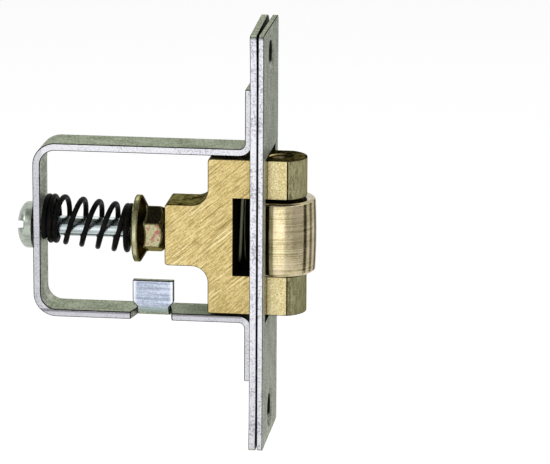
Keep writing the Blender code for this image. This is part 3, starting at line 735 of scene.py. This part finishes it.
def sawn_brass(name):
    """Brass, sawn on its broad faces and dull drawn on the rest, with painted light and shade in places."""
    material, shader, wire, where, facing = start_metal(name, BRASS_SHEEN)
    turn = (0, SAW_ANGLE, 0)
    fine = noise(wire, stretched(wire, where, SAW_LINES, turn), 1.0, detail=4.0, roughness=0.7)
    deep = noise(wire, stretched(wire, where, DEEP_LINES, turn), 1.0, detail=2.0)
    grain = noise(wire, where, SAW_GRAIN, roughness=0.7)
    cloud = noise(wire, where, SAW_CLOUD, detail=2.0)
    mottle = noise(wire, where, DRAWN_MOTTLE, detail=3.0)
    streaks = noise(wire, stretched(wire, where, NOSE_STREAKS), 1.0, detail=3.0)
    pit = pitting(wire, where, PIT_SPACING, PIT_EDGE)
    x, y, z = where.part("X"), where.part("Y"), where.part("Z")

    sawn = (fine * 0.55 + grain * 0.35 + cloud * 0.1).mask(*SAW_CONTRAST).mix(SAWN_DARK, SAWN_LIGHT_AND_GLINT)
    sawn = (deep.mask(*BRIGHT_LINES) * 0.6).mix(sawn, SCRATCH_LIGHT)
    sawn = ((1 - deep.mask(*DARK_LINES)) * 0.6).mix(sawn, SCRATCH_COLOUR)
    # Painted light: the broad faces ahead of the forend are painted lighter, as lit.
    lit_ahead = (grain * 0.75 + fine * 0.25).mask(*AHEAD_LIT_CONTRAST).mix(AHEAD_LIT_DARK, AHEAD_LIT_LIGHT)
    sawn = (x.mask(*LIT_AHEAD) * 0.9).mix(sawn, lit_ahead)
    sawn = (pit * cloud.mask(*PIT_PATCHES) * 0.8).mix(sawn, SCRATCH_COLOUR)
    # A thin dark line on the broad faces where they pass the forend's front.
    at_forend = 1 - abs(x - FOREND_LINE_X).mask(*FOREND_LINE_WIDTH)
    sawn = (at_forend * grain.mask(*FOREND_LINE_CONTRAST)).mix(sawn, FOREND_LINE_DARK)

    drawn = (mottle * 0.6 + cloud * 0.4).mask(*DRAWN_CONTRAST).mix(DRAWN_DARK_AND_SHADE, DRAWN_LIGHT)
    # Painted shade on the drawn faces ahead of the forend, strongest next to it.
    drawn = (x.mask(*NOSE_FOOT) * (1 - x.mask(*NOSE_TIP) * 0.5) * 0.75).mix(drawn, DRAWN_DARK_AND_SHADE)
    # Painted shade in the mouth of the pin hole, and a painted glint on its rim.
    from_pin = x - PIN_X
    mouth = 1 - (from_pin * from_pin + y * y).mask(*(radius**2 for radius in MOUTH_EDGE))
    drawn = mouth.mix(drawn, DRAWN_DARK_AND_SHADE)
    drawn = (mouth * (y - from_pin).mask(*MOUTH_GLINT)).mix(drawn, SAWN_LIGHT_AND_GLINT)

    turned = (streaks * 0.5 + grain * 0.5).mask(*DRAWN_CONTRAST).mix(NOSE_DARK_AND_SHADE, NOSE_LIGHT)
    # Painted light on the nose's front, and painted shade on its lower part.
    turned = (facing.part("X").mask(*FACING_AHEAD) * 0.45).mix(turned, NOSE_LIT_FRONT)
    turned = ((0 - z).mask(*LOWER_NOSE) * 0.3).mix(turned, NOSE_DARK_AND_SHADE)
    on_nose = x.mask(*NOSE_START) * (1 - abs(facing.part("Z")).mask(*FACING))
    broad = abs(facing.part("Y")).mask(*FACING_BROAD)
    dull = in_slot(wire, where).mix(on_nose.mix(drawn, turned), SLOT_GLEAM)
    wire.plug(
        shader,
        {
            "Base Color": broad.mix(dull, sawn),
            "Roughness": 0.30 + fine * 0.15 + grain * 0.1 + on_nose * 0.15,
            "Normal": bump(wire, fine * 0.5 + deep * 0.5 - pit * 0.3, SAW_RELIEF),
        },
    )
    # Painted shade: the slot's walls go black, except for a slanting pale painted streak on the back wall.
    painted_shade = wire.node("ShaderNodeBsdfDiffuse", {}, {"Color": SLOT_DARK})
    metal = Wire(wire.tree, shader.outputs[0])
    from_gleam = abs(y - z * GLEAM_SLOPE - GLEAM_MIDDLE)
    gleam = (1 - from_gleam.mask(*GLEAM_WIDTH)) * z.mask(*GLEAM_FOOT) * facing.part("X").mask(*FACING_ROLLER)
    shaded_in_slot = in_slot(wire, where) * (1 - broad) * (1 - gleam)
    both = wire.node("ShaderNodeMixShader", {}, {0: shaded_in_slot, 1: metal, 2: painted_shade})
    wire.plug(material.node_tree.nodes["Material Output"], {"Surface": both})
    return material


block_low, block_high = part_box("roller_block")
brass = sawn_brass("sawn_brass")
brass_arris_shade = shaded_arris("brass_arris_shade", BRASS_ARRIS_SHADE_DARK, BRASS_ARRIS_SHADE_LIGHT, in_slot)

nose_turn = math.asin(block_high.y / NOSE_RADIUS)
nose_corner_x = PIN_X + NOSE_RADIUS * math.cos(nose_turn)
bm = bmesh.new()
start = bm.verts.new((nose_corner_x, block_low.y, block_low.z))
arc = bmesh.ops.spin(
    bm, geom=[start], cent=(PIN_X, 0, 0), axis=(0, 0, 1), angle=2 * nose_turn, steps=NOSE_STEPS
)["geom_last"]
far_corner = [part for part in arc if isinstance(part, bmesh.types.BMVert)][0]
rear = [bm.verts.new((SHOULDER_X, y, block_low.z)) for y in (block_high.y, block_low.y)]
for pair in ((far_corner, rear[0]), rear, (rear[1], start)):
    bm.edges.new(pair)
bmesh.ops.contextual_create(bm, geom=bm.edges[:])
upper = new_verts(bmesh.ops.extrude_face_region(bm, geom=bm.faces[:]))
bmesh.ops.translate(bm, vec=(0, 0, block_high.z - block_low.z), verts=upper)
bmesh.ops.recalc_face_normals(bm, faces=bm.faces)
for level in (STEM_HALF, -STEM_HALF):
    whole = bm.verts[:] + bm.edges[:] + bm.faces[:]
    bmesh.ops.bisect_plane(bm, geom=whole, dist=TOUCHING, plane_co=(0, 0, level), plane_no=(0, 0, 1))
root = [f for f in bm.faces if (f.calc_center_median() - Vector((SHOULDER_X, 0, 0))).length < NEARBY]
stem = new_verts(bmesh.ops.extrude_face_region(bm, geom=root))
bmesh.ops.translate(bm, vec=(block_low.x - SHOULDER_X, 0, 0), verts=stem)
bmesh.ops.delete(bm, geom=root, context="FACES_ONLY")
for x, z, radius, steps in (
    (SHOULDER_X, STEM_HALF, STEM_FILLET, FILLET_STEPS),
    (SHOULDER_X, block_high.z, BLOCK_CORNER, CORNER_STEPS),
    (block_low.x, STEM_HALF, BLOCK_CORNER, CORNER_STEPS),
):
    bmesh.ops.bevel(
        bm, geom=across(bm, x, z), affect="EDGES", offset=radius, segments=steps, profile=0.5, material=-1
    )
bmesh.ops.dissolve_limit(bm, angle_limit=SAME_PLANE, verts=bm.verts[:], edges=bm.edges[:])
bmesh.ops.recalc_face_normals(bm, faces=bm.faces)
sliding_block = add_object("sliding_block", bm)

bm = bmesh.new()
slot_length = block_high.x - SLOT_WALL_X + MM
slot_size = Matrix.Diagonal((slot_length, 4 * block_high.y, 2 * SLOT_HALF, 1))
slot_middle = Matrix.Translation((slot_length / 2, block_high.y, 0))
slot_corner = Matrix.Translation((SLOT_WALL_X, block_low.y, 0)) @ Matrix.Rotation(-SLOT_SKEW, 4, "Z")
bmesh.ops.create_cube(bm, size=1, matrix=slot_corner @ slot_middle @ slot_size)
carve(sliding_block, bm)
bm = bmesh.new()
bmesh.ops.create_cone(
    bm,
    cap_ends=True,
    segments=HOLE_STEPS,
    radius1=PIN_HOLE_RADIUS,
    radius2=PIN_HOLE_RADIUS,
    depth=2 * block_high.z + MM,
    matrix=Matrix.Translation((PIN_X, 0, 0)),
)
carve(sliding_block, bm)
for side in (1, -1):
    bm = bmesh.new()
    bmesh.ops.create_cone(
        bm,
        cap_ends=True,
        segments=HOLE_STEPS,
        radius1=PIN_HOLE_RADIUS,
        radius2=PIN_HOLE_RADIUS + 2 * PIN_HOLE_MOUTH,
        depth=2 * PIN_HOLE_MOUTH,
        matrix=Matrix.Translation((PIN_X, 0, side * block_high.z)) @ Matrix.Diagonal((1, 1, side, 1)),
    )
    bmesh.ops.recalc_face_normals(bm, faces=bm.faces)
    carve(sliding_block, bm)
carve(sliding_block, rod(SCREW_BORE_RADIUS, block_low.x - MM, SCREW_BORE_END))
finish_piece(sliding_block, [brass, brass_arris_shade], "block", "roller_block")

# Roller.
# Turned from brass rod, slightly fuller at its middle and rounded at its rims, so that it runs on smoothly
# as the door shuts. Fine rings from the lathe go round it, and it has a few small pits.
ROLLER_DARK = (0.29, 0.24, 0.12, 1)
ROLLER_LIGHT = (0.66, 0.575, 0.36, 1)
ROLLER_FLUSH = (0.62, 0.47, 0.36, 1)
ROLLER_PIT = (0.10, 0.07, 0.03, 1)
LATHE_RINGS = (30.0 * MM, 30.0 * MM, 0.22 * MM)
LATHE_RELIEF = 0.012 * MM
ROLLER_GRAIN = 0.25 * MM
ROLLER_CLOUD = 3.0 * MM
ROLLER_PITS = 1.6 * MM
ROLLER_CONTRAST = (0.37, 0.63)
ROLLER_PIT_EDGE = (0.05, 0.11)
ROLLER_PIT_PATCHES = (0.48, 0.55)
FLUSH_PATCHES = (0.5, 0.65)
ROLLER_RIM = 0.5 * MM
RIM_STEPS = 6
ROLLER_CROWN = 0.15 * MM
CROWN_STEPS = 12
ROUND_STEPS = 128


def turned_brass(name):
    """Brass with rings from the lathe, flushed with red in places and lightly pitted."""
    material, shader, wire, where, facing = start_metal(name)
    rings = noise(wire, stretched(wire, where, LATHE_RINGS), 1.0, detail=3.0, roughness=0.6)
    grain = noise(wire, where, ROLLER_GRAIN)
    cloud = noise(wire, where, ROLLER_CLOUD, detail=2.0)
    pit = pitting(wire, where, ROLLER_PITS, ROLLER_PIT_EDGE) * cloud.mask(*ROLLER_PIT_PATCHES)
    tone = (rings * 0.5 + grain * 0.25 + cloud * 0.25).mask(*ROLLER_CONTRAST).mix(ROLLER_DARK, ROLLER_LIGHT)
    tone = (cloud.mask(*FLUSH_PATCHES) * 0.35).mix(tone, ROLLER_FLUSH)
    wire.plug(
        shader,
        {
            "Base Color": pit.mix(tone, ROLLER_PIT),
            "Roughness": 0.10 + rings * 0.12,
            "Coat Weight": 0.12,
            "Normal": bump(wire, rings - pit * 0.5, LATHE_RELIEF),
        },
    )
    return material


def upright_spin(bm, x):
    """Turns the profile in the bmesh about the upright axis at this X, and closes its seam."""
    geom = bm.verts[:] + bm.edges[:]
    bmesh.ops.spin(
        bm, geom=geom, cent=(x, 0, 0), axis=(0, 0, 1), angle=2 * math.pi, steps=ROUND_STEPS, use_merge=True
    )
    bmesh.ops.remove_doubles(bm, verts=bm.verts, dist=TOUCHING)
    bmesh.ops.recalc_face_normals(bm, faces=bm.faces)


def chain(bm, points, closed):
    """Joins the points with edges, and the last to the first where the profile is closed."""
    verts = [bm.verts.new(point) for point in points]
    for pair in zip(verts, verts[1:] + verts[:1] if closed else verts[1:]):
        bm.edges.new(pair)


roller_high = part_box("roller")[1]
roller_half = roller_high.z
roller_radius = roller_high.x - PIN_X
straight = roller_half - ROLLER_RIM
profile = [(PIN_HOLE_RADIUS, roller_half)]
for step in range(RIM_STEPS + 1):
    turn = math.pi / 2 * (1 - step / RIM_STEPS)
    out = roller_radius - ROLLER_CROWN - ROLLER_RIM + ROLLER_RIM * math.cos(turn)
    profile.append((out, straight + ROLLER_RIM * math.sin(turn)))
for step in range(1, CROWN_STEPS):
    share = 1 - 2 * step / CROWN_STEPS
    profile.append((roller_radius - ROLLER_CROWN * share**2, straight * share))
profile += [(out, -height) for out, height in reversed(profile[: RIM_STEPS + 2])]
bm = bmesh.new()
chain(bm, [(PIN_X + out, 0, height) for out, height in profile], closed=True)
upright_spin(bm, PIN_X)
turned_roller = add_object("turned_roller", bm)
finish_piece(turned_roller, [turned_brass("turned_brass")], "wheel", "roller", arris=0)

# Pin.
# A plain zinc plated pin pressed into the block from above, on which the roller turns. Both its ends lie a
# little inside the block.
ZINC_DARK = (0.40, 0.46, 0.46, 1)
ZINC_LIGHT = (0.62, 0.68, 0.70, 1)
HEAD_DARK = (0.30, 0.335, 0.28, 1)
HEAD_LIGHT = (0.46, 0.50, 0.44, 1)
# The pin is painted near black as shade, since only its ends show, inside their holes.
PIN_SHADE_DARK = (0.03, 0.03, 0.025, 1)
PIN_SHADE_LIGHT = (0.08, 0.08, 0.07, 1)
ZINC_GRAIN = 0.3 * MM
ZINC_RELIEF = 0.008 * MM
ZINC_CONTRAST = (0.36, 0.64)
PIN_LINES = (MM, MM, 0.2 * MM)
BEHIND_WALL = (-39.3 * MM, -38.9 * MM)
PIN_CHAMFER = 0.3 * MM


def zinc_plate(name, lines, dark=ZINC_DARK, light=ZINC_LIGHT):
    """Zinc plate in streaks of the given sizes and colours, duller and greener on the head behind the wall.
    """
    material, shader, wire, where, facing = start_metal(name)
    streaks = noise(wire, stretched(wire, where, lines), 1.0, detail=3.0)
    grain = noise(wire, where, ZINC_GRAIN)
    tone = (streaks * 0.6 + grain * 0.4).mask(*ZINC_CONTRAST)
    head = 1 - where.part("X").mask(*BEHIND_WALL)
    wire.plug(
        shader,
        {
            "Base Color": head.mix(tone.mix(dark, light), tone.mix(HEAD_DARK, HEAD_LIGHT)),
            "Roughness": 0.10 + grain * 0.14 + head * 0.15,
            "Normal": bump(wire, streaks, ZINC_RELIEF),
        },
    )
    return material


pin_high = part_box("roller_pin")[1]
pin_radius = pin_high.y
bm = bmesh.new()
pin_profile = [(0, pin_high.z), (pin_radius - PIN_CHAMFER, pin_high.z)]
pin_profile += [(pin_radius, pin_high.z - PIN_CHAMFER)]
pin_profile += [(out, -height) for out, height in reversed(pin_profile)]
chain(bm, [(PIN_X + out, 0, height) for out, height in pin_profile], closed=False)
upright_spin(bm, PIN_X)
pressed_pin = add_object("pressed_pin", bm)
pin_zinc = zinc_plate("pin_plate", PIN_LINES, PIN_SHADE_DARK, PIN_SHADE_LIGHT)
finish_piece(pressed_pin, [pin_zinc], "block", "roller_pin", arris=0)

# Adjusting screw.
# A slotted screw, zinc plated, whose domed head lies behind the bracket's rear wall. Its shank runs through
# the spring and the nut and is screwed into the block's stem.
HEAD_EDGE = 1.0 * MM
DRIVER_SLOT = 1.2 * MM
DRIVER_SLOT_DEPTH = 1.5 * MM
DRIVER_TURN = math.radians(-13)
SHANK_RADIUS = 1.7 * MM
HEAD_FRONT_X = -39.65 * MM
SCREW_CHAMFER = 0.4 * MM
SCREW_ARRIS = 0.12 * MM
SCREW_LINES = (5.0 * MM, 0.4 * MM, 0.4 * MM)
DOME_STEPS = 12


def lying_spin(bm):
    """Turns the profile in the bmesh about the screw's axis, and closes its seam."""
    geom = bm.verts[:] + bm.edges[:]
    bmesh.ops.spin(
        bm, geom=geom, cent=(0, 0, 0), axis=(1, 0, 0), angle=2 * math.pi, steps=ROUND_STEPS, use_merge=True
    )
    bmesh.ops.remove_doubles(bm, verts=bm.verts, dist=TOUCHING)
    bmesh.ops.recalc_face_normals(bm, faces=bm.faces)


screw_low, screw_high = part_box("adjusting_screw")
head_radius = screw_high.z
dome = HEAD_FRONT_X - screw_low.x - HEAD_EDGE
screw_profile = []
for step in range(DOME_STEPS + 1):
    turn = math.pi / 2 * step / DOME_STEPS
    screw_profile.append((screw_low.x + dome - dome * math.cos(turn), head_radius * math.sin(turn)))
screw_profile += [(HEAD_FRONT_X, head_radius), (HEAD_FRONT_X, SHANK_RADIUS)]
tip = screw_high.x
screw_profile += [(tip - SCREW_CHAMFER, SHANK_RADIUS), (tip, SHANK_RADIUS - SCREW_CHAMFER), (tip, 0)]
bm = bmesh.new()
chain(bm, [(x, 0, out) for x, out in screw_profile], closed=False)
lying_spin(bm)
slotted_screw = add_object("slotted_screw", bm)
bm = bmesh.new()
driver_size = Matrix.Diagonal((2 * DRIVER_SLOT_DEPTH, 3 * head_radius, DRIVER_SLOT, 1))
driver_place = Matrix.Translation((screw_low.x, 0, 0)) @ Matrix.Rotation(DRIVER_TURN, 4, "X")
bmesh.ops.create_cube(bm, size=1, matrix=driver_place @ driver_size)
carve(slotted_screw, bm)
zinc = zinc_plate("screw_plate", SCREW_LINES)
finish_piece(slotted_screw, [zinc, zinc], "screw", "adjusting_screw", SCREW_ARRIS)

# Lock nut.
# A hexagon nut with a conical flange, yellow passivated, so that its faces play from green to red. It is
# locked against the block's stem, and the spring bears on its flange.
NUT_DARK = (0.050, 0.042, 0.027, 1)
NUT_SHEEN = (0.30, 0.28, 0.16, 1)
NUT_OLIVE = (0.47, 0.48, 0.30, 1)
NUT_YELLOW = (0.48, 0.43, 0.24, 1)
NUT_ROSE = (0.34, 0.15, 0.12, 1)
NUT_GREEN = (0.30, 0.34, 0.16, 1)
# The nut's arrises, painted darker as lines of shade.
NUT_ARRIS_SHADE_DARK = (0.16, 0.14, 0.06, 1)
NUT_ARRIS_SHADE_LIGHT = (0.42, 0.38, 0.18, 1)
NUT_CLOUD = 1.6 * MM
NUT_PLAY = 0.8 * MM
NUT_GRAIN = 0.2 * MM
NUT_RELIEF = 0.01 * MM
NUT_CONTRAST = (0.38, 0.62)
ROSE_PATCHES = (0.47, 0.58)
GREEN_PATCHES = (0.38, 0.47)
ON_FLATS = (-20.8 * MM, -20.2 * MM)
CONE_BACK = (-21.7 * MM, -21.5 * MM)
CONE_FRONT = (-20.6 * MM, -20.4 * MM)
FACING_UP = (0.35, 0.7)
NUT_SIDES = 6
NUT_FLAT = 3.5 * MM
NUT_RIM = 0.9 * MM
NUT_CONE = 1.2 * MM
NUT_CHAMFER = 0.35 * MM
NUT_TURN = math.radians(36)
NUT_ARRIS = 0.14 * MM
RIM_CHAMFER = 0.1 * MM
TOOL_CLEAR = 0.02 * MM


def yellow_passivated(name):
    """Yellow passivated zinc, rosy and green on the flats, with painted shade where it looks up or lies in
    the cone.
    """
    material, shader, wire, where, facing = start_metal(name, NUT_SHEEN)
    cloud = noise(wire, where, NUT_CLOUD, detail=3.0)
    play = noise(wire, where, NUT_PLAY, detail=4.0, roughness=0.7)
    grain = noise(wire, where, NUT_GRAIN)
    x = where.part("X")
    plain = (cloud * 0.6 + grain * 0.4).mask(*NUT_CONTRAST).mix(NUT_OLIVE, NUT_YELLOW)
    rosy = play.mask(*ROSE_PATCHES).mix(plain, NUT_ROSE)
    coloured = (1 - play.mask(*GREEN_PATCHES)).mix(rosy, NUT_GREEN)
    on_flats = x.mask(*ON_FLATS)
    on_cone = x.mask(*CONE_BACK) * (1 - x.mask(*CONE_FRONT))
    shaded = wire.math("MAXIMUM", on_cone, on_flats * facing.part("Z").mask(*FACING_UP))
    wire.plug(
        shader,
        {
            "Base Color": shaded.mix(on_flats.mix(plain, coloured), NUT_DARK),
            "Roughness": 0.18 + grain * 0.2,
            "Normal": bump(wire, cloud * 0.3 + grain * 0.7, NUT_RELIEF),
        },
    )
    return material


nut_low, nut_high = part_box("flange_nut")
nut_rim = nut_high.z
nut_corner = NUT_FLAT / math.cos(math.pi / NUT_SIDES)
cone_end = nut_low.x + NUT_RIM + NUT_CONE
lock_nut = add_object("lock_nut", rod(nut_corner, nut_low.x + NUT_RIM / 2, nut_high.x, NUT_SIDES))
lock_nut.data.transform(Matrix.Rotation(NUT_TURN, 4, "X"))
chamfer_start = nut_high.x - (nut_corner - NUT_FLAT + NUT_CHAMFER)
bm = bmesh.new()
tool_profile = [(nut_low.x, 0), (nut_low.x, 2 * nut_corner), (chamfer_start, nut_corner + TOOL_CLEAR)]
tool_profile += [(nut_high.x + NUT_CHAMFER, NUT_FLAT - 2 * NUT_CHAMFER), (nut_high.x + NUT_CHAMFER, 0)]
chain(bm, [(x, 0, out) for x, out in tool_profile], closed=False)
lying_spin(bm)
carve(lock_nut, bm, "INTERSECT")
bm = bmesh.new()
flange_profile = [(nut_low.x, 0), (nut_low.x, nut_rim - RIM_CHAMFER), (nut_low.x + RIM_CHAMFER, nut_rim)]
flange_profile += [(nut_low.x + NUT_RIM, nut_rim), (cone_end, NUT_FLAT), (cone_end, 0)]
chain(bm, [(x, 0, out) for x, out in flange_profile], closed=False)
lying_spin(bm)
carve(lock_nut, bm, "UNION")
carve(lock_nut, rod(SCREW_BORE_RADIUS, nut_low.x - MM, nut_high.x + MM))
passivated = yellow_passivated("yellow_passivated")
nut_arris_shade = shaded_arris("nut_arris_shade", NUT_ARRIS_SHADE_DARK, NUT_ARRIS_SHADE_LIGHT)
finish_piece(lock_nut, [passivated, nut_arris_shade], "slider", "flange_nut", NUT_ARRIS)

# Compression spring.
# Black oiled wire wound left-handed, with closed turns at both ends. It bears on the rear wall and on the
# nut's flange, and its rear end rides up until its inside nearly meets the shank.
WIRE_DIAMETER = 0.90 * MM
WIRE_STEPS = 5
SPRING_REAR_X = -38.05 * MM
SPRING_FRONT_X = -22.85 * MM
SPRING_DIAMETER = 8.3 * MM
SPRING_LIFT = 1.2 * MM
REAR_TURNS = 1.9
OPEN_TURNS = 4.6
FRONT_TURNS = 1.1
RAMP_TURNS = 0.5
COIL_STEPS = 44
SPRING_START = math.radians(225)
SPRING_LEAN = 0.72 * MM
LEAN_PAST_OPEN = 0.4
OIL_DARK = (0.002, 0.002, 0.002, 1)
OIL_LIGHT = (0.010, 0.009, 0.008, 1)
OIL_CONTRAST = (0.4, 0.65)
DRAWING_MARKS = 0.35 * MM
OIL_CLOUD = 2.0 * MM
WIRE_RELIEF = 0.01 * MM


def oiled_wire(name):
    """Spring wire, black under its oil."""
    material, shader, wire, where, facing = start_metal(name)
    marks = noise(wire, where, DRAWING_MARKS, detail=4.0)
    cloud = noise(wire, where, OIL_CLOUD, detail=2.0)
    wire.plug(
        shader,
        {
            "Base Color": (marks * 0.5 + cloud * 0.5).mask(*OIL_CONTRAST).mix(OIL_DARK, OIL_LIGHT),
            "Metallic": 0.0,
            "Specular IOR Level": 0.04,
            "Roughness": 0.30 + marks * 0.25,
            "Normal": bump(wire, marks, WIRE_RELIEF),
        },
    )
    return material


def openness(turn):
    """How far the coil is open at this turn: 0 in the closed turns, with a soft change to the open ones."""
    rise = min(1, max(0, (turn - REAR_TURNS) / RAMP_TURNS))
    fall = min(1, max(0, (REAR_TURNS + OPEN_TURNS - turn) / RAMP_TURNS))
    ramp = min(rise, fall)
    return ramp * ramp * (3 - 2 * ramp)


turns = REAR_TURNS + OPEN_TURNS + FRONT_TURNS
count = round(turns * COIL_STEPS)
spare = SPRING_FRONT_X - SPRING_REAR_X - WIRE_DIAMETER - turns * WIRE_DIAMETER
coil_radius = (SPRING_DIAMETER - WIRE_DIAMETER) / 2
shares = [openness(turns * step / count) for step in range(count + 1)]
coil = bpy.data.curves.new("coil", "CURVE")
coil.dimensions = "3D"
coil.bevel_depth = WIRE_DIAMETER / 2
coil.bevel_resolution = WIRE_STEPS
coil.use_fill_caps = True
spline = coil.splines.new("POLY")
spline.points.add(count)
for step, point in enumerate(spline.points):
    turn = turns * step / count
    progress = sum(shares[:step]) / sum(shares)
    angle = SPRING_START + 2 * math.pi * turn
    leaning = max(0, min(1, turn - REAR_TURNS, REAR_TURNS + OPEN_TURNS + LEAN_PAST_OPEN - turn))
    x = SPRING_REAR_X + WIRE_DIAMETER / 2 + WIRE_DIAMETER * turn + spare * progress
    x += SPRING_LEAN * math.cos(angle) * leaning
    y = coil_radius * math.sin(angle)
    z = coil_radius * math.cos(angle) + SPRING_LIFT * (1 - progress)
    point.co = (x, y, z, 1)
curve_object = bpy.data.objects.new("coil", coil)
bpy.context.scene.collection.objects.link(curve_object)
tube = bpy.data.meshes.new_from_object(curve_object.evaluated_get(bpy.context.evaluated_depsgraph_get()))
bpy.data.objects.remove(curve_object)
bm = bmesh.new()
bm.from_mesh(tube)
bmesh.ops.remove_doubles(bm, verts=bm.verts, dist=TOUCHING)
bmesh.ops.recalc_face_normals(bm, faces=bm.faces)
coil_spring = add_object("coil_spring", bm)
finish_piece(coil_spring, [oiled_wire("oiled_wire")], "case", "compression_spring", arris=0)
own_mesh(coil_spring)
